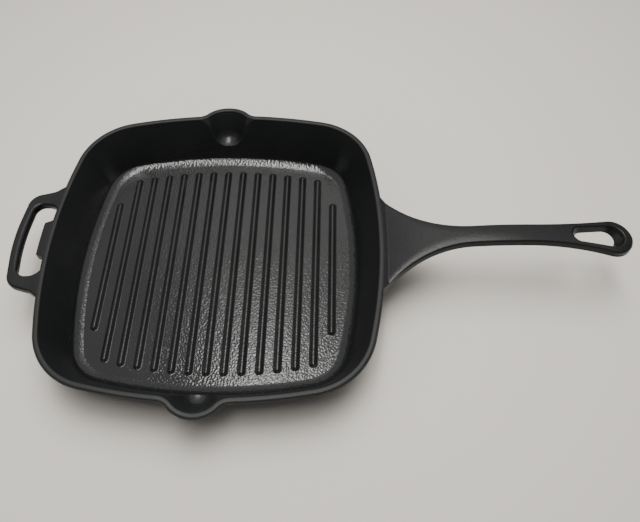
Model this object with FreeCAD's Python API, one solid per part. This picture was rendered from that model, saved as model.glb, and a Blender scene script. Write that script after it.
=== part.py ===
import FreeCAD, Part
import os
from math import acos, asin, atan2, cos, degrees, hypot, pi, radians, sin, sqrt, tan

# A square cast-iron grill pan with a ribbed floor, two pouring spouts, an arched handle and a helper loop.
# Origin at the middle of the underside, +X along the long handle, +Z up, millimetres and degrees.
# The casting is divided at its natural lines, and neighbouring pieces meet face to face.

Vec = FreeCAD.Vector
UP = Vec(0, 0, 1)
ORIGIN = Vec(0, 0, 0)

# Pan body seen from above
rim_half = 136.0
side_bow_radius = 415.0
corner_radius = 55.0

# Section of the wall
pan_height = 42.3
rim_width = 5.7
rim_outer_round_share = 0.386
rim_inner_round_share = 0.28
wall_lean = 24.2
floor_thickness = 5.0
floor_band_width = 7.3
floor_band_rise = 2.8
floor_band_bend = 28.0
base_round = 15.0

# Grill ribs
rib_pitch = 13.5
rib_height = 2.1
rib_base_width = 6.2
rib_crest_width = 1.6
rib_crest_round = 1.6
rib_end_gap = 7.6

# Pouring spouts
spout_reach = 10.7
spout_radius = 26.6
spout_blend_radius = 10.0
spout_depth_share = 0.783
spout_lip_share = 0.2
spout_under_round = 14.0
spout_lip_drop = 1.3
scoop_depth = 23.7
scoop_taper_share = 0.5
scoop_round = 10.0

# Long handle
handle_reach = 179.0
handle_thickness = 7.0
handle_arch_radius = 380.0
handle_arch_rise = 13.8
handle_crest_share = 0.592
handle_root_width = 87.0
handle_neck_width = 16.0
handle_neck_shares = (0.36, 0.585)
handle_end_radius = 14.3
handle_top_round = 1.4
handle_bottom_round = 2.2

# Hanging hole in the handle's end
hole_length = 37.0
hole_side_wall = 4.7
hole_end_wall = 7.2
hole_narrow_share = 0.56
hole_draft = 1.8
hole_end_draft = 5.3

# Helper loop
helper_reach = 28.6
helper_bow = 7.0
helper_bow_share = 0.5
helper_thickness = 8.6
helper_top_drop = 0.5
helper_root_half = 47.5
helper_grip_half = 42.5
helper_corner_radius = 11.0
helper_flare = 7.0
helper_flare_radius = 10.0
helper_grip_width = 10.0
helper_arm_width = 9.5
helper_opening_radius = 8.0
helper_round = 3.5

# Lug left by the casting gate
lug_length = 33.0
lug_reach = 4.8
lug_height = 7.0
lug_top_drop = 0.9
lug_round = 1.0

# Cutters run past the faces that they cut by this much
overrun = 4.0


def rounded_wire(corners):
    """A closed wire through (point, radius) corners, each rounded by an arc tangent to its two sides."""
    bends = []
    for i, (point, radius) in enumerate(corners):
        if radius == 0:
            bends.append((point, None, point))
            continue
        into = (corners[i - 1][0] - point).normalize()
        out = (corners[(i + 1) % len(corners)][0] - point).normalize()
        half_angle = into.getAngle(out) / 2
        run = radius / tan(half_angle)
        middle = point + (into + out).normalize() * (radius / sin(half_angle) - radius)
        bends.append((point + into * run, middle, point + out * run))
    edges = []
    for i, (start, middle, end) in enumerate(bends):
        if middle is not None:
            edges.append(Part.Arc(start, middle, end).toShape())
        following = bends[(i + 1) % len(bends)][0]
        if end.distanceToPoint(following) > Part.Precision.confusion():
            edges.append(Part.LineSegment(end, following).toShape())
    return Part.Wire(edges)


def solid_of(shape):
    """The single solid in a boolean result, with split faces merged."""
    return shape.removeSplitter().Solids[0]


def middle_of(edge):
    """The point halfway along an edge."""
    return edge.valueAt((edge.FirstParameter + edge.LastParameter) / 2)


# The plan outline is four bowed sides and four corners, all tangent arcs, so an offset only changes the radii
side_centre = rim_half - side_bow_radius
corner_gap = side_bow_radius - corner_radius
corner_centre = (side_centre + sqrt(2 * corner_gap ** 2 - side_centre ** 2)) / 2
side_half_angle = atan2(corner_centre, corner_centre - side_centre)
outline_arcs = (
    (Vec(side_centre, 0, 0), side_bow_radius, -side_half_angle, side_half_angle),
    (Vec(corner_centre, corner_centre, 0), corner_radius, side_half_angle, pi / 2 - side_half_angle),
)


def ring_of(corners):
    """A section, drawn as (offset, height, radius) corners, carried all the way round the plan outline."""
    pieces = []
    for centre, arc_radius, start, end in outline_arcs:
        points = [(Vec(centre.x + arc_radius + out, centre.y, z), r) for out, z, r in corners]
        section = Part.Face(rounded_wire(points))
        section.rotate(centre, UP, degrees(start))
        for turn in range(4):
            piece = section.revolve(centre, UP, degrees(end - start))
            piece.rotate(ORIGIN, UP, 90 * turn)
            pieces.append(piece)
    return solid_of(pieces[0].multiFuse(pieces[1:]))


def plate_of(offset, top):
    """A flat plate on the ground, with the plan outline moved outward by offset."""
    edges = []
    for turn in range(4):
        for centre, arc_radius, start, end in outline_arcs:
            edge = Part.Arc(Part.Circle(centre, UP, arc_radius + offset), start, end).toShape()
            edge.rotate(ORIGIN, UP, 90 * turn)
            edges.append(edge)
    return Part.Face(Part.Wire(edges)).extrude(UP * top)


def outline_half_depth(x, offset):
    """How far the plan outline, moved outward by offset, reaches along Y at a given x."""
    side = side_bow_radius + offset
    corner = corner_radius + offset
    if x <= corner_centre + corner * sin(side_half_angle):
        return side_centre + sqrt(side ** 2 - x ** 2)
    if x <= corner_centre + corner * cos(side_half_angle):
        return corner_centre + sqrt(corner ** 2 - (x - corner_centre) ** 2)
    return sqrt(side ** 2 - (x - side_centre) ** 2)


# Wall section: the wall leans straight down to a crease, and a hollow band runs from there to the flat floor
wall_slope = tan(radians(wall_lean))
wall_rise = pan_height - floor_thickness
wall_foot = rim_width + (wall_rise - floor_band_rise) * wall_slope
floor_edge = wall_foot + floor_band_width
band_half_bend = radians(floor_band_bend) / 2
band_chord = hypot(floor_band_width, floor_band_rise)
band_toe = atan2(floor_band_rise, floor_band_width) - band_half_bend
band_run = band_chord / (2 * cos(band_half_bend))
band_radius = band_chord / (2 * sin(band_half_bend))
base_span = hypot(floor_edge, pan_height - base_round)
outer_lean = atan2(floor_edge, pan_height - base_round) - asin(base_round / base_span)
rim_outer_round = rim_outer_round_share * rim_width
rim_inner_round = rim_inner_round_share * rim_width
wall_base = [(-floor_edge, 0, 0), (-pan_height * tan(outer_lean), 0, base_round)]
wall_inside = [
    (-rim_width, pan_height, rim_inner_round),
    (-wall_foot, floor_thickness + floor_band_rise, 0),
    (band_run * cos(band_toe) - floor_edge, floor_thickness + band_run * sin(band_toe), band_radius),
    (-floor_edge, floor_thickness, 0),
]

# Floor plate, and the wall ring with its rounded rim
pan_floor = plate_of(-floor_edge, floor_thickness)
pan_ring = ring_of(wall_base + [(0, pan_height, rim_outer_round)] + wall_inside)

# The pan filled to the brim, to trim what is fixed to its outside
filled_ring = ring_of(wall_base + [(0, pan_height, rim_outer_round), (-floor_edge, pan_height, 0)])
pan_block = solid_of(filled_ring.fuse(plate_of(-floor_edge, pan_height)))

# Pouring spout: a bulge of the rim, with a concave blend at each side, that slopes back into the wall
spout_depth = spout_depth_share * wall_rise
spout_slope = wall_slope + (spout_reach + rim_width) / spout_depth
spout_centre = rim_half + spout_reach - spout_radius
side_to_blend = side_bow_radius + spout_blend_radius
bulge_to_blend = spout_radius + spout_blend_radius
blend_y = (side_to_blend ** 2 - bulge_to_blend ** 2 - side_centre ** 2 + spout_centre ** 2) / (
    2 * (spout_centre - side_centre)
)
blend_x = sqrt(bulge_to_blend ** 2 - (blend_y - spout_centre) ** 2)

# Each spout takes a panel of the wall with it
panel_half = blend_x + rim_width
far_panel = Part.makeBox(
    2 * panel_half,
    rim_half + spout_reach,
    spout_depth + overrun,
    Vec(-panel_half, overrun, pan_height - spout_depth),
)
near_panel = far_panel.copy()
near_panel.rotate(ORIGIN, UP, 180)
pan_wall = solid_of(pan_ring.cut([far_panel, near_panel]))

# The bulge keeps the rim's rounding and lean over the height of its lip, then rounds under into the wall
bulge_axis = Vec(0, spout_centre, 0)
lip_height = spout_lip_share * spout_depth
lip_lean = lip_height * tan(outer_lean)
bulge_foot = spout_radius - lip_lean - scoop_taper_share * (spout_depth - lip_height)
bulge_section = rounded_wire(
    [
        (Vec(0, spout_centre, pan_height), 0),
        (Vec(0, spout_centre, pan_height - spout_depth), 0),
        (Vec(bulge_foot, spout_centre, pan_height - spout_depth), spout_under_round),
        (Vec(spout_radius - lip_lean, spout_centre, pan_height - lip_height), lip_height),
        (Vec(spout_radius, spout_centre, pan_height), rim_outer_round),
    ]
)
bulge = Part.Face(bulge_section).revolve(bulge_axis, UP, 360).cut(pan_block)

# The blend at each side fills the corner between the bulge and the rim, over the height of the lip
blend_width = min(lip_lean, rim_width - rim_inner_round)
blend_axis = Vec(blend_x, blend_y, 0)
blend_back = blend_x + spout_blend_radius + blend_width
blend_section = rounded_wire(
    [
        (Vec(blend_back, blend_y, pan_height - blend_width / tan(outer_lean)), 0),
        (Vec(blend_back, blend_y, pan_height), 0),
        (Vec(blend_x + spout_blend_radius, blend_y, pan_height), rim_outer_round),
    ]
)
blend_start = atan2(spout_centre - blend_y, -blend_x)
blend_end = atan2(side_centre - blend_y, -blend_x)
blend_face = Part.Face(blend_section)
blend_face.rotate(blend_axis, UP, degrees(blend_start))
right_blend = blend_face.revolve(blend_axis, UP, degrees(blend_end - blend_start))
left_blend = right_blend.mirror(ORIGIN, Vec(1, 0, 0))
spout_far = solid_of(pan_ring.common(far_panel).multiFuse([bulge, right_blend, left_blend]))

# The scoop is a round-bottomed bowl, a rim's width inside the bulge, that ends in a crisp edge on the wall
scoop_radius = spout_radius - rim_width
side_inner = side_bow_radius - rim_width
blend_inner = spout_blend_radius + rim_width
side_point = Vec(0, side_centre, 0) + Vec(blend_x, blend_y - side_centre, 0) * (side_inner / side_to_blend)
bulge_point = bulge_axis + (blend_axis - bulge_axis) * (scoop_radius / bulge_to_blend)
blend_middle = blend_axis + (side_point + bulge_point - blend_axis * 2).normalize() * blend_inner
scoop_back = Vec(side_point.x, spout_centre - spout_radius, 0)


def mirrored(point):
    """The same point on the other side of the spout."""
    return Vec(-point.x, point.y, point.z)


scoop_edges = [
    Part.Arc(side_point, blend_middle, bulge_point),
    Part.Arc(bulge_point, bulge_axis + Vec(0, scoop_radius, 0), mirrored(bulge_point)),
    Part.Arc(mirrored(bulge_point), mirrored(blend_middle), mirrored(side_point)),
    Part.LineSegment(mirrored(side_point), mirrored(scoop_back)),
    Part.LineSegment(mirrored(scoop_back), scoop_back),
    Part.LineSegment(scoop_back, side_point),
]
scoop_face = Part.Face(Part.Wire([edge.toShape() for edge in scoop_edges]))
scoop_face.translate(Vec(0, spout_slope * overrun, pan_height + overrun))
spout_scoop = scoop_face.extrude(Vec(0, -spout_slope, -1) * (spout_depth + overrun))
scoop_foot = scoop_radius - scoop_taper_share * scoop_depth
bowl_section = rounded_wire(
    [
        (Vec(0, spout_centre, pan_height + overrun), 0),
        (Vec(0, spout_centre, pan_height - scoop_depth), 0),
        (Vec(scoop_foot, spout_centre, pan_height - scoop_depth), scoop_round),
        (Vec(scoop_radius + scoop_taper_share * overrun, spout_centre, pan_height + overrun), 0),
    ]
)
spout_bowl = Part.Face(bowl_section).revolve(bulge_axis, UP, 360)

# The lip dips below the rim in one long curve
dip_radius = (blend_x ** 2 + spout_lip_drop ** 2) / (2 * spout_lip_drop)
dip_centre = Vec(0, overrun, pan_height + dip_radius - spout_lip_drop)
dip = Part.makeCylinder(dip_radius, rim_half + spout_reach, dip_centre, Vec(0, 1, 0))
spout_far = solid_of(spout_far.cut([spout_scoop, spout_bowl, dip]))
spout_near = spout_far.copy()
spout_near.rotate(ORIGIN, UP, 180)

# Grill ribs: drafted bars with rounded crests, their half-round ends stopping short of the floor's edge
rib_foot = rib_base_width / 2
rib_crest = rib_crest_width / 2
rib_top = floor_thickness + rib_height
rib_floor_half = rim_half - floor_edge - rib_end_gap - rib_foot
ribs_each_side = int(rib_floor_half / rib_pitch)
rib_section = rounded_wire(
    [
        (Vec(-rib_foot, 0, floor_thickness), 0),
        (Vec(rib_foot, 0, floor_thickness), 0),
        (Vec(rib_crest, 0, rib_top), rib_crest_round),
        (Vec(-rib_crest, 0, rib_top), rib_crest_round),
    ]
)
rib_half_section = rounded_wire(
    [
        (Vec(0, 0, floor_thickness), 0),
        (Vec(rib_foot, 0, floor_thickness), 0),
        (Vec(rib_crest, 0, rib_top), rib_crest_round),
        (Vec(0, 0, rib_top), 0),
    ]
)
ribs = []
for place in range(-ribs_each_side, ribs_each_side + 1):
    x = place * rib_pitch
    half_length = outline_half_depth(abs(x), -floor_edge - rib_end_gap) - rib_foot
    bar = Part.Face(rib_section).extrude(Vec(0, 2 * half_length, 0))
    bar.translate(Vec(x, -half_length, 0))
    ends = []
    for sign in (-1, 1):
        end = Part.Face(rib_half_section).revolve(ORIGIN, UP, sign * 180)
        end.translate(Vec(x, sign * half_length, 0))
        ends.append(end)
    ribs.append(solid_of(bar.multiFuse(ends)))

# Long handle seen from above: flared root, slim neck and widening round end, all tangent arcs
neck_half = handle_neck_width / 2
root_half = handle_root_width / 2
root_x = side_centre + sqrt(side_bow_radius ** 2 - root_half ** 2)
inner_x = rim_half - floor_edge
neck_start, neck_end = (rim_half + share * handle_reach for share in handle_neck_shares)
tip_x = rim_half + handle_reach
end_x = tip_x - handle_end_radius
root_run = neck_start - root_x
root_rise = root_half - neck_half
root_radius = (root_run ** 2 + root_rise ** 2) / (2 * root_rise)
root_turn = atan2(root_run, root_radius - root_rise)
end_run = end_x - neck_end
end_rise = handle_end_radius - neck_half
end_flare_radius = (end_run ** 2 + neck_half ** 2 - handle_end_radius ** 2) / (2 * end_rise)
end_turn = asin(end_run / (end_flare_radius + handle_end_radius))


def handle_side(side):
    """Points along one side of the handle, from inside the wall to where the round end begins."""
    root_middle_rise = root_radius * (1 - cos(root_turn / 2))
    end_middle_rise = end_flare_radius * (1 - cos(end_turn / 2))
    return [
        Vec(inner_x, side * root_half, 0),
        Vec(root_x, side * root_half, 0),
        Vec(neck_start - root_radius * sin(root_turn / 2), side * (neck_half + root_middle_rise), 0),
        Vec(neck_start, side * neck_half, 0),
        Vec(neck_end, side * neck_half, 0),
        Vec(neck_end + end_flare_radius * sin(end_turn / 2), side * (neck_half + end_middle_rise), 0),
        Vec(end_x - handle_end_radius * sin(end_turn), side * handle_end_radius * cos(end_turn), 0),
    ]


far_side = handle_side(1)
near_side = handle_side(-1)
plan_edges = [
    Part.Arc(far_side[6], Vec(tip_x, 0, 0), near_side[6]),
    Part.LineSegment(near_side[0], far_side[0]),
]
for inner, root, root_middle, start, end, end_middle, widest in (far_side, near_side):
    plan_edges.append(Part.LineSegment(inner, root))
    plan_edges.append(Part.Arc(root, root_middle, start))
    plan_edges.append(Part.LineSegment(start, end))
    plan_edges.append(Part.Arc(end, end_middle, widest))
handle_plan = Part.Face(Part.Wire(Part.sortEdges([edge.toShape() for edge in plan_edges])[0]))

# Seen from the side the handle is one long arch of even thickness
crest_z = pan_height + handle_arch_rise
arch_centre = Vec(rim_half + handle_crest_share * handle_reach, 0, crest_z - handle_arch_radius)
arch_start = arch_centre - Vec(0, root_half + overrun, 0)
arch_width = handle_root_width + 2 * overrun
arch_top = Part.makeCylinder(handle_arch_radius, arch_width, arch_start, Vec(0, 1, 0))
arch_under = Part.makeCylinder(handle_arch_radius - handle_thickness, arch_width, arch_start, Vec(0, 1, 0))
handle = solid_of(handle_plan.extrude(UP * (crest_z + overrun)).common(arch_top).cut(arch_under))


def arch_edges(shape, radius, reach):
    """The edges of the handle, outside the wall, that lie on an arch of the given radius."""
    found = []
    for edge in shape.Edges:
        middle = middle_of(edge)
        from_centre = hypot(middle.x - arch_centre.x, middle.z - arch_centre.z)
        if middle.x > inner_x + rim_width and abs(from_centre - radius) < reach:
            found.append(edge)
    return found


handle = handle.makeFillet(
    handle_bottom_round, arch_edges(handle, handle_arch_radius - handle_thickness, handle_bottom_round / 4)
)
handle = handle.makeFillet(handle_top_round, arch_edges(handle, handle_arch_radius, handle_top_round / 4))

# Hanging hole: a teardrop whose walls lean in towards the underside, most of all at its wide end
hole_wide = handle_end_radius - hole_side_wall
hole_narrow = hole_narrow_share * hole_wide
hole_wide_x = tip_x - hole_end_wall - hole_wide
hole_narrow_x = tip_x - hole_end_wall - hole_length + hole_narrow


def teardrop(inset, end_inset, z):
    """The hole's outline at a height, with its walls moved in by inset and its wide end by end_inset."""
    wide = hole_wide - inset
    narrow = hole_narrow - inset
    wide_middle = Vec(hole_wide_x + inset - end_inset, 0, z)
    narrow_middle = Vec(hole_narrow_x, 0, z)
    turn = acos((wide - narrow) / (wide_middle.x - narrow_middle.x))
    far = Vec(-cos(turn), sin(turn), 0)
    near = Vec(-cos(turn), -sin(turn), 0)
    far_wide = wide_middle + far * wide
    near_wide = wide_middle + near * wide
    far_narrow = narrow_middle + far * narrow
    near_narrow = narrow_middle + near * narrow
    edges = [
        Part.Arc(near_wide, wide_middle + Vec(wide, 0, 0), far_wide),
        Part.LineSegment(far_wide, far_narrow),
        Part.Arc(far_narrow, narrow_middle - Vec(narrow, 0, 0), near_narrow),
        Part.LineSegment(near_narrow, near_wide),
    ]
    return Part.Wire([edge.toShape() for edge in edges])


def arch_height(x):
    """Height of the handle's top over a place on its axis."""
    return arch_centre.z + sqrt(handle_arch_radius ** 2 - (x - arch_centre.x) ** 2)


hole_top = max(arch_height(tip_x), arch_height(hole_narrow_x - hole_narrow), arch_height(hole_narrow_x))
hole_bottom = min(arch_height(tip_x), arch_height(hole_narrow_x - hole_narrow)) - handle_thickness
hole_outlines = [teardrop(hole_draft, hole_end_draft, hole_bottom), teardrop(0, 0, hole_top)]
hole = Part.makeLoft(hole_outlines, True, True)
long_handle = solid_of(handle.cut([hole, pan_block]))

# Helper loop: an outer outline and a finger opening, both with round corners and a bowed grip
grip_x = -rim_half - helper_reach
corner_x = grip_x + helper_bow
helper_z = pan_height - helper_top_drop - helper_thickness


def bow_radius(half_length):
    """Radius of the grip's bow, which takes up its share of each straight between the middle and a corner."""
    return helper_bow_share * hypot(half_length, helper_bow) * half_length / helper_bow


def loop_face(one_side, bow_point):
    """A face symmetrical about the X axis, from the corners of its far side and the middle of its bow."""
    other_side = [(Vec(point.x, -point.y, point.z), radius) for point, radius in reversed(one_side)]
    return Part.Face(rounded_wire(one_side + [bow_point] + other_side))


spread_half = helper_root_half + helper_flare
outer_side = [
    (Vec(-inner_x, spread_half, helper_z), 0),
    (Vec(rim_width - rim_half, spread_half, helper_z), 0),
    (Vec(-helper_flare / 4 - rim_half, helper_root_half, helper_z), helper_flare_radius),
    (Vec(corner_x, helper_grip_half, helper_z), helper_corner_radius),
]
opening_root = helper_root_half - helper_arm_width
opening_half = helper_grip_half - helper_arm_width
opening_side = [
    (Vec(-inner_x, opening_root, helper_z), 0),
    (Vec(corner_x + helper_grip_width, opening_half, helper_z), helper_opening_radius),
]
outer_bow = (Vec(grip_x, 0, helper_z), bow_radius(helper_grip_half))
opening_bow = (Vec(grip_x + helper_grip_width, 0, helper_z), bow_radius(opening_half))
outer_face = loop_face(outer_side, outer_bow)
opening_face = loop_face(opening_side, opening_bow)
helper = solid_of(outer_face.cut(opening_face).extrude(UP * helper_thickness))
loop_edges = []
for edge in helper.Edges:
    if edge.BoundBox.ZLength < helper_thickness / 2 and middle_of(edge).x < rim_width - rim_half:
        loop_edges.append(edge)
helper = helper.makeFillet(helper_round, loop_edges)
helper_handle = solid_of(helper.cut(pan_block))

# Gate lug: a low block on the wall, inside the loop
lug_corner = Vec(-rim_half - lug_reach, -lug_length / 2, pan_height - lug_top_drop - lug_height)
lug = Part.makeBox(floor_edge + lug_reach, lug_length, lug_height, lug_corner)
lug = lug.makeFillet(lug_round, [edge for edge in lug.Edges if edge.BoundBox.XMax < -rim_half])
gate_lug = solid_of(lug.cut(pan_block))

nodes = {
    "pan_floor": pan_floor,
    "pan_wall": pan_wall,
    "spout_far": spout_far,
    "spout_near": spout_near,
    "long_handle": long_handle,
    "helper_handle": helper_handle,
    "gate_lug": gate_lug,
}
for number, rib in enumerate(ribs, start=1):
    nodes[f"rib_{number:02d}"] = rib

os.makedirs("parts", exist_ok=True)
for name, shape in nodes.items():
    shape.exportStep(f"parts/{name}.step")
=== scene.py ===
import bmesh
import bpy
import numpy as np
from mathutils import Matrix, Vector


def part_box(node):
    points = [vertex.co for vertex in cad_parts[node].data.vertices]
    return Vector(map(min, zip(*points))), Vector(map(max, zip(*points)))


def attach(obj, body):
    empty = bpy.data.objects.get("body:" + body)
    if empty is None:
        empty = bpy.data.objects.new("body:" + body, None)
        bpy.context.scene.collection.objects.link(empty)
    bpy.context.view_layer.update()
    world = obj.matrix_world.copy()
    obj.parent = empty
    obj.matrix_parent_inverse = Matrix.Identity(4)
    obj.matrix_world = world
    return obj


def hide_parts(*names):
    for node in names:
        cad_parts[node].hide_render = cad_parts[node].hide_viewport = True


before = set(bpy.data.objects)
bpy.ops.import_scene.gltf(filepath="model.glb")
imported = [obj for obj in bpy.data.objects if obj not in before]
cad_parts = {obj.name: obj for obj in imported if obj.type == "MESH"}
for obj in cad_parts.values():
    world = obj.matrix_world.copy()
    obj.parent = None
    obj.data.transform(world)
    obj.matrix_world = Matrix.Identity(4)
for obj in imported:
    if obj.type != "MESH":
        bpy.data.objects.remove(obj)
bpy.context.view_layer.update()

# Pan floor: the flat ground of the casting, 5 mm thick, on which the ribs stand.
# It is iron cast in sand and baked to a satin black, and its top keeps the pebbled skin of the
# mould. Its edge is where the fillet of the wall begins.
MM = 0.001
rim_half, side_bow, corner_round = 136.0, 415.0, 55.0
pan_height, floor_thickness, floor_edge = 42.3, 5.0, 28.5
side_points, corner_points = 24, 28
floor_rings = np.array([0.0, 0.25, 0.5, 0.7, 0.85, 0.95, 1.0])
weld_gap, sliver_length = 0.004, 0.002

dark_iron, pale_iron = (0.0112, 0.0127, 0.0122, 1.0), (0.0168, 0.0185, 0.0178, 1.0)
cloud_scale, pebble_scale, grain_scale = 22.0, 640.0, 1500.0
pebble_depth, grain_depth, grain_strength = 0.0006, 0.0002, (0.06, 0.12)
# Over the facing span the sheen falls to the low sheen on upright and downward faces, as painted
# shade.
noise_span, shade_facing_span = (0.3, 0.7), (0.05, 0.55)
pebble_heights, gloss_heights, rim_heights = (0.0085, 0.0110), (0.0100, 0.0400), (0.0390, 0.0410)
gloss_change, painted_shade_sheen = (-0.02, 0.03), 0.12

side_centre = rim_half - side_bow
corner_gap = side_bow - corner_round
corner_centre = (side_centre + np.sqrt(2 * corner_gap**2 - side_centre**2)) / 2
side_angle = np.arctan2(corner_centre, corner_centre - side_centre)


def cast_iron(name, sheen, rim_sheen, low_gloss, high_gloss, floor_pebbles, upper_pebbles):
    """Black iron: clouds of two tints, with pebbles and fine grains as bump.

    The roughness goes from low_gloss at the floor to high_gloss at the rim, where the skin is
    duller. The pebbles change in strength just above the floor. Faces that look up have the full
    sheen, or the rim's own at its height, and upright or downward ones get less sheen as painted
    shade, which dims their reflections."""
    material = bpy.data.materials.new(name)
    material.use_nodes = True
    nodes, links = material.node_tree.nodes, material.node_tree.links
    shader = nodes["Principled BSDF"]
    shader.inputs["Metallic"].default_value = 0.0
    place = nodes.new("ShaderNodeTexCoord")

    def height_of(vector):
        """The third part of a vector."""
        node = nodes.new("ShaderNodeSeparateXYZ")
        links.new(vector, node.inputs["Vector"])
        return node.outputs["Z"]

    def noise(scale, detail, rough):
        """Noise over the object's own coordinates, at a scale per metre."""
        node = nodes.new("ShaderNodeTexNoise")
        node.inputs["Scale"].default_value = scale
        node.inputs["Detail"].default_value = detail
        node.inputs["Roughness"].default_value = rough
        links.new(place.outputs["Object"], node.inputs["Vector"])
        return node.outputs["Fac"]

    def ramp(source, span, low, high):
        """A value that goes from low to high as the source goes through a span, level outside."""
        node = nodes.new("ShaderNodeMapRange")
        node.inputs["From Min"].default_value, node.inputs["From Max"].default_value = span
        node.inputs["To Min"].default_value = low
        node.inputs["To Max"].default_value = high
        links.new(source, node.inputs["Value"])
        return node.outputs["Result"]

    def bump(height, depth, strength, normal=None):
        """The normal of a surface raised by a height times a depth, added to an earlier bump."""
        node = nodes.new("ShaderNodeBump")
        node.inputs["Distance"].default_value = depth
        links.new(height, node.inputs["Height"])
        links.new(strength, node.inputs["Strength"])
        if normal is not None:
            links.new(normal, node.inputs["Normal"])
        return node.outputs["Normal"]

    clouds = noise(cloud_scale, detail=4.0, rough=0.55)
    pebbles = noise(pebble_scale, detail=0.0, rough=0.5)
    grains = noise(grain_scale, detail=2.0, rough=0.6)
    height = height_of(place.outputs["Object"])

    # Less sheen on upright and downward faces is painted shade that dims their reflections.
    sheen_with_painted_shade = ramp(height_of(place.outputs["Normal"]), shade_facing_span, painted_shade_sheen, sheen)
    links.new(ramp(height, rim_heights, sheen, rim_sheen), sheen_with_painted_shade.node.inputs["To Max"])
    links.new(sheen_with_painted_shade, shader.inputs["Specular IOR Level"])

    tint = nodes.new("ShaderNodeMix")
    tint.data_type = "RGBA"
    tint.inputs["A"].default_value = dark_iron
    tint.inputs["B"].default_value = pale_iron
    links.new(ramp(clouds, noise_span, 0.0, 1.0), tint.inputs["Factor"])
    links.new(tint.outputs["Result"], shader.inputs["Base Color"])

    uneven = nodes.new("ShaderNodeMath")
    uneven.operation = "ADD"
    links.new(ramp(grains, noise_span, *gloss_change), uneven.inputs[0])
    links.new(ramp(height, gloss_heights, low_gloss, high_gloss), uneven.inputs[1])
    links.new(uneven.outputs["Value"], shader.inputs["Roughness"])

    pebble_strength = ramp(height, pebble_heights, floor_pebbles, upper_pebbles)
    pebbled = bump(pebbles, pebble_depth, pebble_strength)
    grained = bump(grains, grain_depth, ramp(clouds, noise_span, *grain_strength), pebbled)
    links.new(grained, shader.inputs["Normal"])
    return material


iron = cast_iron(
    "cast_iron",
    sheen=0.77,
    rim_sheen=0.62,
    low_gloss=0.09,
    high_gloss=0.48,
    floor_pebbles=0.245,
    upper_pebbles=0.09,
)


def arc(centre, radius, start, end, count):
    """Points on a circle about a centre, and unit vectors out of it, at even angles."""
    turn = np.linspace(start, end, count)
    out = np.stack([np.cos(turn), np.sin(turn)], axis=-1)
    return np.asarray(centre) + radius * out, out


def joined(arcs):
    """Arcs end to end, as points and outward vectors, each without the point that it shares."""
    trimmed = [arcs[0]] + [(points[1:], outs[1:]) for points, outs in arcs[1:]]
    return tuple(np.concatenate(run) for run in zip(*trimmed))


def bowed_quarter(far_end, far_points):
    """Half a bowed side, a round corner and the next side as far as an angle: tangent arcs."""
    corner_end = np.pi / 2 - side_angle
    return joined(
        [
            arc((side_centre, 0), side_bow, 0, side_angle, side_points),
            arc((corner_centre,) * 2, corner_round, side_angle, corner_end, corner_points),
            arc((0, side_centre), side_bow, corner_end, far_end, far_points),
        ]
    )


def all_round(quarter):
    """A quarter of the pan, from the +X axis to the +Y axis, mirrored into the other three."""
    flip_x = quarter * np.array([-1.0, 1.0, 1.0])
    flip_y = quarter * np.array([1.0, -1.0, 1.0])
    turned = quarter * np.array([-1.0, -1.0, 1.0])
    return np.concatenate([quarter, flip_x[-2::-1], turned[1:], flip_y[-2:0:-1]])


def grid_faces(rows, columns, close_rows, close_columns, first):
    """Quads of a grid numbered row by row, joined end to start where a direction is closed."""
    r = np.arange(rows if close_rows else rows - 1)
    c = np.arange(columns if close_columns else columns - 1)
    r, c = np.meshgrid(r, c, indexing="ij")
    r2, c2 = (r + 1) % rows, (c + 1) % columns
    corners = [r * columns + c, r2 * columns + c, r2 * columns + c2, r * columns + c2]
    return np.stack(corners, axis=-1).reshape(-1, 4) + first


def casting_piece(name, grids, sharp=40.0, skin=iron):
    """One closed mesh from grids in millimetres, each (points, close rows, close columns).

    Points that meet are welded, and edges that turn by more than sharp degrees stay sharp."""
    points, faces, first = [], [], 0
    for grid, close_rows, close_columns in grids:
        rows, columns = grid.shape[:2]
        points.append(grid.reshape(-1, 3) * MM)
        faces.append(grid_faces(rows, columns, close_rows, close_columns, first))
        first += rows * columns
    mesh = bpy.data.meshes.new(name)
    mesh.from_pydata(np.concatenate(points).tolist(), [], np.concatenate(faces).tolist())
    work = bmesh.new()
    work.from_mesh(mesh)
    bmesh.ops.remove_doubles(work, verts=work.verts, dist=weld_gap * MM)
    bmesh.ops.dissolve_degenerate(work, edges=work.edges, dist=sliver_length * MM)
    bmesh.ops.recalc_face_normals(work, faces=work.faces)
    work.to_mesh(mesh)
    work.free()
    mesh.polygons.foreach_set("use_smooth", np.ones(len(mesh.polygons), dtype=bool))
    mesh.set_sharp_from_angle(angle=np.radians(sharp))
    piece = bpy.data.objects.new(name, mesh)
    bpy.context.scene.collection.objects.link(piece)
    mesh.materials.append(skin)
    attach(piece, "root")
    return piece


def floor_plate():
    """The plan outline shrunk towards the middle in rings, at the top and at the underside."""
    outline, out = bowed_quarter(np.pi / 2, side_points)
    edge = outline - floor_edge * out
    top = edge[:, None, :] * floor_rings[None, :, None]
    rings = np.concatenate([top, top[:, ::-1]], axis=1)
    height = np.repeat([floor_thickness, 0.0], len(floor_rings))
    z = np.broadcast_to(height[None, :, None], rings.shape[:2] + (1,))
    return all_round(np.concatenate([rings, z], axis=-1))


pan_floor = casting_piece("pan_floor_plate", [(floor_plate(), True, False)])
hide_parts("pan_floor")

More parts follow.
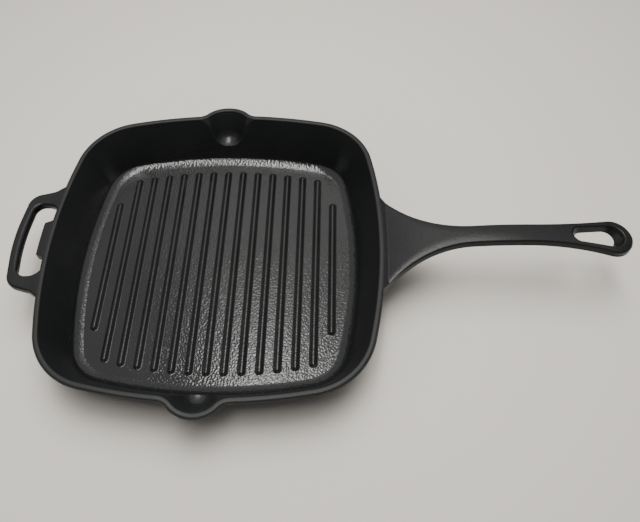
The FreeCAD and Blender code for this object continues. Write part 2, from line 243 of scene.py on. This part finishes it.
# Pan wall: one leaning wall cast round the floor, with a rounded rim and a pouring spout in the
# middle of the far and the near side. The spouts are part of the wall: the scoop slopes back into
# it inside, and the bulge draws in below its lip outside.
rim_width, rim_outer_round, rim_inner_round = 5.7, 2.2, 1.6
band_width, band_rise, band_bend, base_fillet = 7.3, 2.8, 0.2443, 15.0
spout_reach, spout_radius, spout_blend, spout_depth = 10.7, 26.6, 10.0, 29.2
lip_height, lip_drop, lip_power, lip_fade = 5.84, 1.3, 1.5, 16.0
under_round, under_retreat, bulge_soft = 14.0, 2.5, 6.0
scoop_radius, scoop_depth, scoop_taper, scoop_round, scoop_slope = 20.9, 23.7, 0.5, 13.2, 1.011
scoop_soft, bowl_soft = 2.0, 1.2
bowl_turn_share, bowl_turn_start, bowl_gap = 0.55, 0.4668, 0.001

spout_centre = rim_half + spout_reach - spout_radius
to_side, to_bulge = side_bow + spout_blend, spout_radius + spout_blend
blend_squares = to_side**2 - to_bulge**2 - side_centre**2 + spout_centre**2
blend_y = blend_squares / (2 * (spout_centre - side_centre))
blend_x = np.sqrt(to_bulge**2 - (blend_y - spout_centre) ** 2)
fillet_rise = pan_height - base_fillet
outer_lean = np.arctan2(floor_edge, fillet_rise)
outer_slope = np.tan(outer_lean - np.arcsin(base_fillet / np.hypot(floor_edge, fillet_rise)))


def rim_quarter():
    """The bowed quarter with half a spout at its far end: a concave blend and then the bulge.

    The third result tells which points lie on the far side, past the corner."""
    side_end = np.arctan2(blend_y - side_centre, blend_x)
    bulge_start = np.arctan2(blend_y - spout_centre, blend_x)
    blend, blend_in = arc(
        (blend_x, blend_y), spout_blend, side_end + np.pi, bulge_start + np.pi, count=16
    )
    bulge = arc((0, spout_centre), spout_radius, bulge_start, np.pi / 2, count=34)
    points, outs = joined([bowed_quarter(side_end, far_points=18), (blend, -blend_in), bulge])
    return points, outs, np.arange(len(points)) >= side_points + corner_points - 1


def bend(corner, before, after, radius, count):
    """A round at a corner: an arc tangent to the lines from the corner to its two neighbours."""
    corner, before, after = (np.asarray(p, float) for p in (corner, before, after))
    into = (before - corner) / np.linalg.norm(before - corner)
    out = (after - corner) / np.linalg.norm(after - corner)
    half = np.arccos(np.clip(into @ out, -1, 1)) / 2
    centre = corner + (into + out) / np.linalg.norm(into + out) * radius / np.sin(half)
    start = corner + into * radius / np.tan(half) - centre
    end = corner + out * radius / np.tan(half) - centre
    turn = np.linspace(0, 1, count)[:, None]
    opening = np.pi - 2 * half
    swung = np.sin((1 - turn) * opening) * start + np.sin(turn * opening) * end
    return centre + swung / np.sin(opening)


def between(start, end, count):
    """Points strictly between two ends, evenly spaced."""
    share = np.linspace(0, 1, count + 2)[1:-1, None]
    return np.asarray(start) * (1 - share) + np.asarray(end) * share


def smooth_max(a, b, soft):
    """The larger of two, raised by a square law where they differ by less than soft."""
    soft = np.maximum(soft, 1e-6)
    near = np.maximum(soft - np.abs(a - b), 0) / soft
    return np.maximum(a, b) + near**2 * soft / 4


def smooth_step(share):
    """A share between 0 and 1 that starts and ends level: three squares less two cubes."""
    return share**2 * (3 - 2 * share)


def far_outline(x, offset):
    """How far out the rim with its spout lies at x, with the outline moved outward by offset."""
    side = side_centre + np.sqrt((side_bow + offset) ** 2 - x**2)
    bulge = spout_centre + np.sqrt(np.maximum((spout_radius + offset) ** 2 - x**2, 0))
    blend = blend_y - np.sqrt(np.maximum((spout_blend - offset) ** 2 - (x - blend_x) ** 2, 0))
    side_end = blend_x * (side_bow + offset) / to_side
    bulge_end = blend_x * (spout_radius + offset) / to_bulge
    return np.where(x > side_end, side, np.where(x > bulge_end, blend, bulge))


def bowl_radius(depth, start, foot, bottom, radius):
    """Radius of a bowl at a depth: a taper from start, with a round at the bottom.

    The foot is the radius that the taper would have if it ran on to the bottom."""
    slope = (start - foot) / bottom
    centre_depth = bottom - radius
    centre = start - slope * centre_depth - radius * np.hypot(1, slope)
    turn = radius**2 - np.clip(depth - centre_depth, 0, radius) ** 2
    rounded = depth > centre_depth + radius * slope / np.hypot(1, slope)
    tapered = np.where(rounded, centre + np.sqrt(turn), start - slope * depth)
    return np.where(depth > bottom, 0.0, tapered)


def wall_section():
    """The section from the floor's edge, round the outside, over the rim and down the inside.

    Each row is (outward offset, height). The two counts tell where the rim starts and ends.
    Inside, the rows lie closer where the bowl of the scoop turns under."""
    outer_foot = pan_height * outer_slope
    top_edge, rim_edge = (0, pan_height), (-rim_width, pan_height)
    crease = (band_width - floor_edge, floor_thickness + band_rise)
    base = bend((-outer_foot, 0), (-floor_edge, 0), top_edge, base_fillet, count=16)
    outer = bend(top_edge, (-outer_foot, 0), rim_edge, rim_outer_round, count=12)
    inner = bend(rim_edge, top_edge, crease, rim_inner_round, count=9)
    below = np.concatenate([[(-floor_edge, 0.0)], base, between(base[-1], outer[0], count=30)])
    rim = np.concatenate([outer, between(outer[-1], inner[0], count=3), inner])

    climb = np.arctan2(band_rise, band_width)
    turn = np.linspace(climb + band_bend, climb - band_bend, 13)
    radius = np.hypot(band_width, band_rise) / (2 * np.sin(band_bend))
    along, up = np.sin(turn) - np.sin(turn[-1]), np.cos(turn[-1]) - np.cos(turn)
    foot = radius * np.stack([along, up], axis=-1) + np.array([-floor_edge, floor_thickness])

    bowl_bottom = pan_height - scoop_depth
    steep = np.linspace(inner[-1][1], bowl_bottom + scoop_round * bowl_turn_share, 30)[1:]
    under = np.linspace(bowl_turn_start, np.pi / 2, 20)[1:]
    turned = bowl_bottom + scoop_round * (1 - np.sin(under))
    below_bowl = np.linspace(bowl_bottom - bowl_gap, foot[0][1], 20)[:-1]
    rows = np.concatenate([steep, turned, below_bowl])
    lean = (inner[-1][0] - foot[0][0]) / (inner[-1][1] - foot[0][1])
    straight = np.stack([inner[-1][0] + (rows - inner[-1][1]) * lean, rows], axis=-1)
    return np.concatenate([below, rim, straight, foot]), len(below), len(below) + len(rim)


def wall_ring():
    """The section carried round the rim, with the spout where it lies further out than the wall.

    Inside, the spout is the rim's inner outline slid back by the scoop's slope for each step down.
    A bowl is scooped out of it, and outside the bulge draws in below the lip and rounds under.
    The lip dips in the middle, and the dip fades out down the wall."""
    rim, out, far = rim_quarter()
    section, rim_first, rim_end = wall_section()
    offset, height = section[:, 0], section[:, 1]
    depth = pan_height - height
    plan = rim[:, None, :] + offset[None, :, None] * out[:, None, :]
    x_rim = rim[:, 0]
    bulging = far_outline(x_rim, 0.0) - (side_centre + np.sqrt(side_bow**2 - x_rim**2))
    strength = np.clip(bulging / spout_reach, 0, 1)[:, None]

    def with_spout(rows, start, spout_y, soft):
        """The plain wall's rows, softly raised to the spout's on the far side."""
        scale = (side_bow + offset[rows]) / (side_bow + offset[start])
        x = plan[:, start, 0][:, None] * scale[None, :]
        plain = side_centre + np.sqrt((side_bow + offset[rows])[None, :] ** 2 - x**2)
        y = np.where(strength > 0, smooth_max(plain, spout_y(x), soft * strength), plain)
        return np.where(far[:, None, None], np.stack([x, y], axis=-1), plan[:, rows])

    lip_radius = spout_radius - lip_height * outer_slope
    under = spout_depth - lip_height
    under_foot = lip_radius - scoop_taper * under
    under_depth = np.minimum(depth - lip_height, under)
    drawn_in = bowl_radius(under_depth, lip_radius, under_foot, under, under_round)
    bulge_offset = np.where(depth > lip_height, drawn_in - spout_radius, offset)
    past_spout = under_retreat * np.maximum(depth - spout_depth, 0)
    below, inside, inner_edge = slice(0, rim_first), slice(rim_end, None), rim_end - 1
    slid_back = scoop_slope * (depth[None, inside] - depth[inner_edge])
    plan[:, below] = with_spout(
        below,
        rim_first,
        lambda x: far_outline(x, bulge_offset[None, below]) - past_spout[None, below],
        bulge_soft,
    )
    plan[:, inside] = with_spout(
        inside,
        inner_edge,
        lambda x: far_outline(x, offset[inner_edge]) - slid_back,
        scoop_soft,
    )

    scoop_foot = scoop_radius - scoop_taper * scoop_depth
    scooped = bowl_radius(depth[None, inside], scoop_radius, scoop_foot, scoop_depth, scoop_round)
    x, y = plan[:, inside, 0], plan[:, inside, 1]
    bowl = spout_centre + np.sqrt(np.maximum(scooped**2 - x**2, 0))
    in_bowl = far[:, None] & (x < scooped)
    plan[:, inside, 1] = np.where(in_bowl, smooth_max(y, bowl, bowl_soft), y)
    dip = lip_drop * np.clip(1 - (x_rim / blend_x) ** 2, 0, 1) ** lip_power * far
    fade = np.clip(1 - depth / lip_fade, 0, 1)
    z = height[None, :] - dip[:, None] * smooth_step(fade)[None, :]
    return all_round(np.concatenate([plan, z[..., None]], axis=-1))


pan_wall = casting_piece("pan_wall_ring", [(wall_ring(), True, True)])
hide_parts("pan_wall", "spout_far", "spout_near")

# Grill ribs: low bars of the same iron, cast with the floor, each with a round crest, half-round
# ends and a soft foot. They run from spout to spout, and follow the bow of the sides at their ends.
rib_height, rib_crest_half, rib_foot_half = 2.1, 0.8, 3.1
rib_crest_round, rib_foot_fillet, rib_floor_run, rib_sunk = 1.6, 1.4, 9.0, 0.6
rib_points = 25
rib_iron = cast_iron(
    "rib_iron",
    sheen=0.77,
    rim_sheen=0.77,
    low_gloss=0.13,
    high_gloss=0.52,
    floor_pebbles=0.16,
    upper_pebbles=0.10,
)


def rib_bar(x, half_length):
    """A section from the crest's middle to the foot, carried round a line with half-round ends."""
    crest, foot = (rib_crest_half, rib_height), (rib_foot_half, 0.0)
    on_floor = (rib_foot_half + rib_floor_run, 0.0)
    top = bend(crest, (0, rib_height), foot, rib_crest_round, count=9)
    toe = bend(foot, crest, on_floor, rib_foot_fillet, count=10)
    buried = [(toe[-1][0], -rib_sunk), (0, -rib_sunk)]
    flank = between(top[-1], toe[0], count=4)
    section = np.concatenate([[(0, rib_height)], top, flank, toe, buried])
    along = np.linspace(0, 1, rib_points)[:-1]
    end_turn = np.linspace(0, np.pi, rib_points)[:-1]
    still = np.zeros_like(along)
    centre_y = half_length * np.concatenate([2 * along - 1, still + 1, 1 - 2 * along, still - 1])
    turn = np.concatenate([still, end_turn, still + np.pi, end_turn + np.pi])
    r, z = section[None, :, 0], section[None, :, 1]
    px = x + r * np.cos(turn)[:, None]
    py = centre_y[:, None] + r * np.sin(turn)[:, None]
    return np.stack([px, py, np.broadcast_to(floor_thickness + z, px.shape)], axis=-1)


for node in sorted(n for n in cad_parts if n.startswith("rib_")):
    low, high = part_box(node)
    bar = rib_bar((low.x + high.x) / 2 / MM, high.y / MM - rib_foot_half)
    rib = casting_piece(node + "_bar", [(bar, True, False)], skin=rib_iron)
    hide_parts(node)

# Long handle: a flat arched bar cast on to the wall just under the rim, wide at its root and slim
# at its neck. Its round end has a teardrop hanging hole whose walls lean in towards the underside.
tip_x, neck_half, end_radius, root_half = 315.0, 8.0, 14.3, 43.5
neck_start, neck_end = 200.44, 240.715
handle_thickness, arch_radius, arch_x, crest_z = 7.0, 380.0, 241.968, 56.1
handle_top_round, handle_bottom_round, handle_crown, handle_crown_width = 1.6, 0.8, 0.9, 8.0
hole_wide, hole_narrow, hole_end_wall, hole_length = 8.8, 6.2, 7.2, 37.0
hole_draft, hole_start_draft, hole_end_draft = 1.2, 2.4, 5.3
hole_top_round, hole_bottom_round, hole_points = 1.7, 0.3, 16
cove_below, cove_slope, cove_reach = 0.1, 0.30, 2.3
root_start, root_end, bar_start, bar_end, end_start = 131.6, 140.0, 141.5, 266.0, 267.0
bow_end, bow_run = 170.0, 30.0
handle_iron = cast_iron(
    "handle_iron",
    sheen=0.46,
    rim_sheen=0.46,
    low_gloss=0.28,
    high_gloss=0.28,
    floor_pebbles=0.12,
    upper_pebbles=0.12,
)

end_x = tip_x - end_radius
root_x = side_centre + np.sqrt(side_bow**2 - root_half**2)
root_run, root_rise = neck_start - root_x, root_half - neck_half
root_radius = (root_run**2 + root_rise**2) / (2 * root_rise)
end_run = end_x - neck_end
end_flare = (end_run**2 + neck_half**2 - end_radius**2) / (2 * (end_radius - neck_half))
end_join = neck_end + end_flare * end_run / (end_flare + end_radius)
wide_x = tip_x - hole_end_wall - hole_wide
narrow_x = tip_x - hole_end_wall - hole_length + hole_narrow
top_hole = (narrow_x, hole_narrow, wide_x, hole_wide)
under_hole = (
    narrow_x + hole_start_draft - hole_draft,
    hole_narrow - hole_draft,
    wide_x + hole_draft - hole_end_draft,
    hole_wide - hole_draft,
)


def handle_half_width(x):
    """Half the handle's width at x: an arc from the root to the neck, an arc out, the round end."""
    root_step = np.clip(neck_start - x, 0, root_run)
    flare_step = np.clip(x - neck_end, 0, end_join - neck_end)
    end_step = np.maximum(x - end_x, end_join - end_x)
    root = neck_half + root_radius - np.sqrt(root_radius**2 - root_step**2)
    flare = neck_half + end_flare - np.sqrt(end_flare**2 - flare_step**2)
    end = np.sqrt(np.maximum(end_radius**2 - end_step**2, 0))
    return np.where(x < neck_start, root, np.where(x < end_join, flare, end))


def inside_edge(x, y):
    """Distance in from the handle's outline, measured square to it."""
    y = np.abs(y)
    root = np.hypot(x - neck_start, y - neck_half - root_radius) - root_radius
    flare = np.hypot(x - neck_end, y - neck_half - end_flare) - end_flare
    end = end_radius - np.hypot(x - end_x, y)
    past_neck = np.where(x < end_join, flare, end)
    return np.where(x < neck_start, root, np.where(x < neck_end, neck_half - y, past_neck))


def outside_hole(x, y, hole):
    """Distance out from the teardrop, two circles and their common tangents."""
    narrow_at, narrow, wide_at, wide = hole
    px, py, span = np.abs(y), wide_at - x, wide_at - narrow_at
    taper = (wide - narrow) / span
    straight = np.sqrt(1 - taper**2)
    along = straight * py - taper * px
    at_wide = np.hypot(px, py) - wide
    at_narrow = np.hypot(px, py - span) - narrow
    at_side = px * straight + py * taper - wide
    return np.where(along < 0, at_wide, np.where(along > straight * span, at_narrow, at_side))


def hole_half(hole):
    """Half the teardrop's outline, from its narrow end along one side to its wide end."""
    narrow_at, narrow, wide_at, wide = hole
    lean = np.arccos((wide - narrow) / (wide_at - narrow_at))
    small, _ = arc((narrow_at, 0), narrow, np.pi, np.pi - lean, hole_points)
    large, _ = arc((wide_at, 0), wide, np.pi - lean, 0, 2 * hole_points)
    return np.concatenate([small, between(small[-1], large[0], hole_points), large])


def round_over(distance, radius):
    """How far a rounded edge has dropped at a distance in from it: a quarter circle."""
    inward = np.clip(radius - distance, 0, radius)
    return radius - np.sqrt(radius**2 - inward**2)


def handle_height(x, y, radius, edge_round, hole_round, hole, side):
    """Height of the top (side 1) or underside (side -1): the arch, with rounds at its edges.

    The top also falls off a little towards the outline as a square. Beside the rim it turns up
    into a shallow cove that runs out at the rim's own round."""
    arch = crest_z - arch_radius + np.sqrt(radius**2 - (x - arch_x) ** 2)
    edge_drop = round_over(inside_edge(x, y), edge_round)
    face = arch - side * (edge_drop + round_over(outside_hole(x, y, hole), hole_round))
    if side < 0:
        return face
    from_edge = np.maximum(handle_half_width(x) - np.abs(y), 0)
    crown = handle_crown * np.maximum(1 - from_edge / handle_crown_width, 0) ** 2
    from_rim = np.hypot(x - side_centre, y) - side_bow
    past_round = np.maximum(from_rim, -cove_reach) + cove_reach
    cove = pan_height - cove_below - cove_slope * past_round
    return np.maximum(face - crown, cove - edge_drop)


def handle_bar():
    """Top and underside as grids of stations along X and shares across, for a half and its mirror.

    Strips round the edge, the hole and the root join them, in straight steps from top to underside.
    The first stations bend with the bow of the rim, so that the root ends inside the wall."""
    before = np.concatenate(
        [
            np.linspace(root_start, root_end, 22),
            np.linspace(bar_start, bar_end, 66),
            np.linspace(end_start, narrow_x - hole_narrow, 6),
        ]
    )
    turn = np.linspace(0, np.pi / 2, 26)[1:]
    across = 0.5 - 0.5 * np.cos(np.linspace(0, np.pi, 42))
    share = np.linspace(0, 1, 5)[None, :, None]

    def face(hole, radius, edge_round, hole_round, side):
        """Stations before, beside and after the hole, each spread from the hole to the outline."""
        loop = hole_half(hole)
        start = np.minimum(before, loop[0, 0])
        after = tip_x - (tip_x - loop[-1, 0]) * (1 - np.sin(turn))
        x = np.concatenate([start, loop[:, 0], after])
        inner = np.concatenate([np.zeros_like(start), loop[:, 1], np.zeros_like(after)])
        y = inner[:, None] + (handle_half_width(x) - inner)[:, None] * across[None, :]
        bow = side_centre + np.sqrt(side_bow**2 - y**2) - rim_half
        x = x[:, None] + bow * np.clip((bow_end - x) / bow_run, 0, 1)[:, None]
        z = handle_height(x, y, radius, edge_round, hole_round, hole, side)
        return np.stack([x, y, z], axis=-1)

    def strip(upper, lower):
        """Straight steps from an edge of the top to the same edge of the underside."""
        return upper[:, None] * (1 - share) + lower[:, None] * share

    top = face(top_hole, arch_radius, handle_top_round, hole_top_round, 1)
    under_radius = arch_radius - handle_thickness
    under = face(under_hole, under_radius, handle_bottom_round, hole_bottom_round, -1)
    beside = slice(len(before), len(before) + len(hole_half(top_hole)))
    edge = strip(top[:, -1], under[:, -1])
    hole_wall = strip(top[beside, 0], under[beside, 0])
    root_cap = strip(top[0], under[0])
    half = [top, under, edge, hole_wall, root_cap]
    mirrored = [grid * np.array([1.0, -1.0, 1.0]) for grid in half]
    return [(grid, False, False) for grid in half + mirrored]


long_handle = casting_piece("long_handle_bar", handle_bar(), sharp=50.0, skin=handle_iron)
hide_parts("long_handle")

# Helper loop: a stout loop cast on the wall opposite the handle, to lift the full pan with both
# hands. It is flat on top and half-round below, its grip bows outward, and its arms run smoothly
# into the rim.
loop_end_x, loop_step_x, loop_step_round, loop_spread = -129.6, -131.2, 0.6, 53.5
loop_root_x, loop_root, loop_root_round = -138.4, 48.6, 11.0
loop_corner_x, loop_corner_y, loop_corner_round, loop_grip_x = -158.4, 43.2, 12.5, -164.2
opening_end_x, opening_end_y = -131.6, 26.9
opening_root_x, opening_root, opening_root_round = -136.9, 33.6, 13.0
opening_corner_x, opening_corner_y, opening_corner_round = -152.0, 35.6, 8.0
opening_grip_x, grip_bow_share, grip_points = -155.7, 0.5, 18
loop_top, loop_edge_drop, loop_depth, loop_edge, loop_bevel = 41.8, 2.4, 6.2, 2.2, 3.6
bevel_run, bevel_margin, flat_share, oval_power, end_lean = 12.0, 2.0, 0.5, 0.55, 0.45
run_in_length, run_in_below = 7.0, 0.03


def run_in_lift(x, y):
    """How far a top face climbs to the rim's height, by a smooth step over the last millimetres."""
    from_rim = np.hypot(x + side_centre, y) - side_bow
    share = np.clip((from_rim + rim_outer_round) / run_in_length, 0, 1)
    return (pan_height - run_in_below - loop_top) * (1 - smooth_step(share))


def loop_outline(corners, counts):
    """A path through corners (x, y, radius) rounded by tangent arcs, with counts for stretches."""
    places = [np.array(c[:2], float) for c in corners]
    bends = [np.array([places[0]])]
    for i in range(1, len(corners) - 1):
        before, after, radius = places[i - 1], places[i + 1], corners[i][2]
        bends.append(bend(places[i], before, after, radius, counts[2 * i - 1]))
    bends.append(np.array([places[-1]]))
    path = [bends[0]]
    for i in range(1, len(bends)):
        path += [between(bends[i - 1][-1], bends[i][0], counts[2 * i - 2]), bends[i]]
    return np.concatenate(path)


def bowed_grip(half_length, middle_x, corner_x):
    """The bowed part of the grip: an arc to its middle, tangent to a straight from the corner."""
    slope = np.arctan2(corner_x - middle_x, half_length)
    bow_radius = grip_bow_share * np.hypot(half_length, corner_x - middle_x) / np.tan(slope)
    turn = np.linspace(slope, 0, grip_points)
    centre_x = middle_x + bow_radius / np.cos(slope)
    return np.stack([centre_x - bow_radius * np.cos(turn), bow_radius * np.sin(turn)], axis=-1)


def closed_ends(rows):
    """Rows of a tube with a row at either end that is drawn together into the end's middle."""
    first, last = (np.broadcast_to(rows[i].mean(axis=0), rows[i].shape) for i in (0, -1))
    return np.concatenate([first[None], rows, last[None]])


def helper_loop():
    """A section between an outer and an inner outline, point for point, from root round to root.

    The section is a flat top with quarter-ellipse edges, the one inside the grip wider, over a
    full half-oval."""
    outer_bow = bowed_grip(loop_corner_y, loop_grip_x, loop_corner_x)
    inner_bow = bowed_grip(opening_corner_y, opening_grip_x, opening_corner_x)
    outer = loop_outline(
        [
            (loop_end_x, loop_spread, 0),
            (loop_step_x, loop_spread, loop_step_round),
            (loop_root_x, loop_root, loop_root_round),
            (loop_corner_x, loop_corner_y, loop_corner_round),
            (*outer_bow[0], 0),
        ],
        [2, 4, 4, 10, 8, 16, 8],
    )
    root_counts, corner_counts = [4, 12], [16, 8]
    arm_count = len(outer) - sum(root_counts + corner_counts) - 2
    inner = loop_outline(
        [
            (opening_end_x, opening_end_y, 0),
            (opening_root_x, opening_root, opening_root_round),
            (opening_corner_x, opening_corner_y, opening_corner_round),
            (*inner_bow[0], 0),
        ],
        root_counts + [arm_count] + corner_counts,
    )
    mirror = np.array([1.0, -1.0])
    outer = np.concatenate([outer, outer_bow[1:]])
    inner = np.concatenate([inner, inner_bow[1:]])
    outer = np.concatenate([outer, (outer * mirror)[-2::-1]])
    inner = np.concatenate([inner, (inner * mirror)[-2::-1]])

    half = np.linalg.norm(outer - inner, axis=1)[:, None] / 2
    grip = np.clip((opening_corner_y - np.abs(inner[:, 1])) / bevel_run, 0, 1)[:, None]
    at_grip = (inner[:, 0] < opening_corner_x + bevel_margin)[:, None]
    bevel = loop_edge + (loop_bevel - loop_edge) * grip * at_grip
    turn = np.linspace(0, np.pi / 2, 11)[None, :]
    back = turn[:, ::-1]
    down = np.linspace(np.pi, 0, 23)[None, 1:-1]
    across = [
        half - loop_edge * (1 - np.cos(turn)),
        (half - loop_edge) * flat_share,
        -(half - bevel) * flat_share,
        -half + bevel * (1 - np.cos(back)),
        half * np.sign(np.cos(down)) * np.abs(np.cos(down)) ** oval_power,
    ]
    rise = [
        loop_edge_drop * np.sin(turn),
        np.full((1, 2), loop_edge_drop),
        loop_edge_drop * np.sin(back),
        -loop_depth * np.sin(down) ** oval_power,
    ]
    across, rise = np.concatenate(across, axis=1), np.concatenate(rise, axis=1)
    middle, outward = (outer + inner) / 2, (outer - inner) / (2 * half)
    plan = middle[:, None, :] + outward[:, None, :] * across[..., None]
    plan[[0, -1], :, 0] += end_lean * np.maximum(-rise, 0)
    lift = run_in_lift(plan[..., 0], plan[..., 1]) * np.clip(rise / loop_edge_drop, 0, 1)
    z = loop_top - loop_edge_drop + rise + lift
    return closed_ends(np.concatenate([plan, z[..., None]], axis=-1))


helper = casting_piece(
    "helper_loop_grip", [(helper_loop(), False, True)], sharp=50.0, skin=handle_iron
)
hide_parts("helper_handle")

# Gate lug: the low block of iron left on the wall inside the loop, where the mould was filled.
# Its top runs flush into the rim, and its ends sweep back to the wall.
lug_half, lug_reach, lug_sweep, lug_round, lug_under = 18.0, 4.6, 3.0, 0.8, 35.0
lug_inset, lug_sunk, lug_lean, lug_back = 3.2, 1.4, 3.1, 6.0
lug_top_points, lug_turn_points = 9, 8


def lug_block():
    """A section from the rim over the top, down the outer face and back underneath.

    It is carried along the wall, and at both ends its reach falls below the wall's leaning face
    along a smooth step."""
    y = lug_half * np.sin(np.linspace(-np.pi / 2, np.pi / 2, 81))[:, None]
    share = smooth_step(np.clip((lug_half - np.abs(y)) / lug_sweep, 0, 1))
    reach = (lug_reach + lug_sunk) * share - lug_sunk
    turn = np.linspace(0, np.pi / 2, lug_turn_points)[None, :]
    inward = np.linspace(-lug_inset, 0.0, lug_top_points)[None, :]
    top = reach - lug_round + (inward / lug_inset) * (reach - lug_round + lug_inset)
    upper = reach - lug_round * (1 - np.sin(turn[:, 1:]))
    lower = reach - lug_round * (1 - np.cos(turn)) - lug_lean * (1 - share)
    from_rim = np.concatenate([top, upper, lower, np.full_like(y, -lug_back)], axis=1)
    x = -side_centre - np.sqrt(side_bow**2 - y**2) - from_rim
    y_all = np.broadcast_to(y, x.shape)
    edge_drop = lug_round * (1 - np.cos(turn[:, 1:]))
    drop = np.concatenate([np.zeros((1, lug_top_points)), edge_drop], axis=1)
    top_z = (loop_top + run_in_lift(x, y_all))[:, : drop.shape[1]] - drop
    under_z = lug_under + lug_round * (1 - np.sin(turn)) + 0 * y
    z = np.concatenate([top_z, under_z, np.full_like(y, lug_under)], axis=1)
    return closed_ends(np.stack([x, y_all, z], axis=-1))


lug = casting_piece("gate_lug_block", [(lug_block(), False, True)], sharp=50.0, skin=handle_iron)
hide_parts("gate_lug")

# Table top: a plain pale painted surface far larger than the pan, darker further out as painted
# shade.
# It is the ground that the pan stands on, not part of the pan.
table_half, table_gloss, table_sheen = 6.0, 0.6, 0.2
table_middle, shade_falloff_span = (0.02, 0.05, 0.0), (0.22, 0.85)
lit_middle_paint, painted_falloff_paint = (0.92, 0.878, 0.80, 1.0), (0.42, 0.40, 0.366, 1.0)

table_signs = ((-1, -1), (1, -1), (1, 1), (-1, 1))
table_corners = [(x * table_half, y * table_half, 0.0) for x, y in table_signs]
table_mesh = bpy.data.meshes.new("table_top")
table_mesh.from_pydata(table_corners, [], [(0, 1, 2, 3)])
table = bpy.data.objects.new("table_top", table_mesh)
bpy.context.scene.collection.objects.link(table)
table_paint = bpy.data.materials.new("table_paint")
table_paint.use_nodes = True
table_nodes, table_links = table_paint.node_tree.nodes, table_paint.node_tree.links
table_shader = table_nodes["Principled BSDF"]
table_shader.inputs["Roughness"].default_value = table_gloss
table_shader.inputs["Specular IOR Level"].default_value = table_sheen
table_place = table_nodes.new("ShaderNodeTexCoord")
# The colour darkens with distance from the middle: painted shade for the light falling off.
from_middle = table_nodes.new("ShaderNodeVectorMath")
from_middle.operation = "DISTANCE"
from_middle.inputs[1].default_value = table_middle
shade = table_nodes.new("ShaderNodeMapRange")
shade.inputs["From Min"].default_value, shade.inputs["From Max"].default_value = shade_falloff_span
paint = table_nodes.new("ShaderNodeMix")
paint.data_type = "RGBA"
paint.inputs["A"].default_value = lit_middle_paint
paint.inputs["B"].default_value = painted_falloff_paint
table_links.new(table_place.outputs["Object"], from_middle.inputs[0])
table_links.new(from_middle.outputs["Value"], shade.inputs["Value"])
table_links.new(shade.outputs["Result"], paint.inputs["Factor"])
table_links.new(paint.outputs["Result"], table_shader.inputs["Base Color"])
table_mesh.materials.append(table_paint)

# Lamps: two long strips, the left one with a weaker end, and a wide ceiling with a glow below it,
# placed by their mirror images in the floor of the pan. A wide soft key nearly overhead, a little
# behind, lights the table and makes the shadows, and is kept out of the reflections.
lamp_colour, room_colour, room_strength = (1.0, 0.985, 0.965), (0.95, 0.96, 1.0, 1.0), 0.10
facing_down = [
    ("left_tube", (-0.22, 0.00, 3.00), (0.38, 2.10), 29.0),
    ("tube_end", (-0.28, 1.29, 3.00), (0.50, 0.48), 2.9),
    ("right_tube", (0.42, 0.10, 3.00), (0.30, 2.40), 10.5),
    ("ceiling_glow", (-0.10, 1.25, 1.72), (0.80, 0.90), 1.1),
    ("ceiling", (-0.30, 2.50, 2.40), (5.00, 7.00), 46.0),
]
key_place, key_size, key_power = (0.30, 0.85, 2.60), (2.00, 2.00), 43.0


def softbox(name, place, target, size, power):
    """An area light at a place, turned to face a target, with its first side square to Y."""
    lamp = bpy.data.lights.new(name, "AREA")
    lamp.shape = "RECTANGLE"
    lamp.size, lamp.size_y = size
    lamp.energy = power
    lamp.color = lamp_colour
    light = bpy.data.objects.new(name, lamp)
    bpy.context.scene.collection.objects.link(light)
    light.location = place
    aim = np.asarray(target) - np.asarray(place)
    back = -aim / np.linalg.norm(aim)
    right = np.cross((0.0, 1.0, 0.0), back)
    right /= np.linalg.norm(right)
    turned = np.stack([right, np.cross(back, right), back], axis=1)
    light.rotation_euler = Matrix(turned.tolist()).to_euler()
    return light


for lamp_name, lamp_place, lamp_size, lamp_power in facing_down:
    softbox(lamp_name, lamp_place, (*lamp_place[:2], 0.0), lamp_size, lamp_power)
key = softbox("key", key_place, (0.0, 0.0, 0.0), key_size, key_power)
key.visible_glossy = False
world = bpy.data.worlds.new("dim_room")
bpy.context.scene.world = world
world.use_nodes = True
room = world.node_tree.nodes["Background"]
room.inputs["Color"].default_value = room_colour
room.inputs["Strength"].default_value = room_strength

# Camera: above and in front of the near spout, turned a little, as the photograph was taken.
# Its focal length, centre, place and directions come from a fit to outlines, in pixels and metres.
focal_pixels, centre_x, centre_y, width, height = 653.17, 271.51, 272.86, 640.0, 522.0
sensor_width, camera_place = 36.0, (0.09148, -0.28638, 0.46238)
to_right, to_bottom, ahead = (
    (0.99616, 0.05603, -0.06732),
    (0.01272, -0.85302, -0.52172),
    (-0.08665, 0.51886, -0.85045),
)

camera_data = bpy.data.cameras.new("camera")
camera = bpy.data.objects.new("camera", camera_data)
bpy.context.scene.collection.objects.link(camera)
camera_data.sensor_width = sensor_width
camera_data.lens = focal_pixels / width * sensor_width
camera_data.shift_x = (width / 2 - centre_x) / width
camera_data.shift_y = (centre_y - height / 2) / width
camera_axes = (to_right, tuple(-v for v in to_bottom), tuple(-v for v in ahead))
camera_turn = Matrix(camera_axes).transposed().to_4x4()
camera.matrix_world = Matrix.Translation(camera_place) @ camera_turn
bpy.context.scene.camera = camera
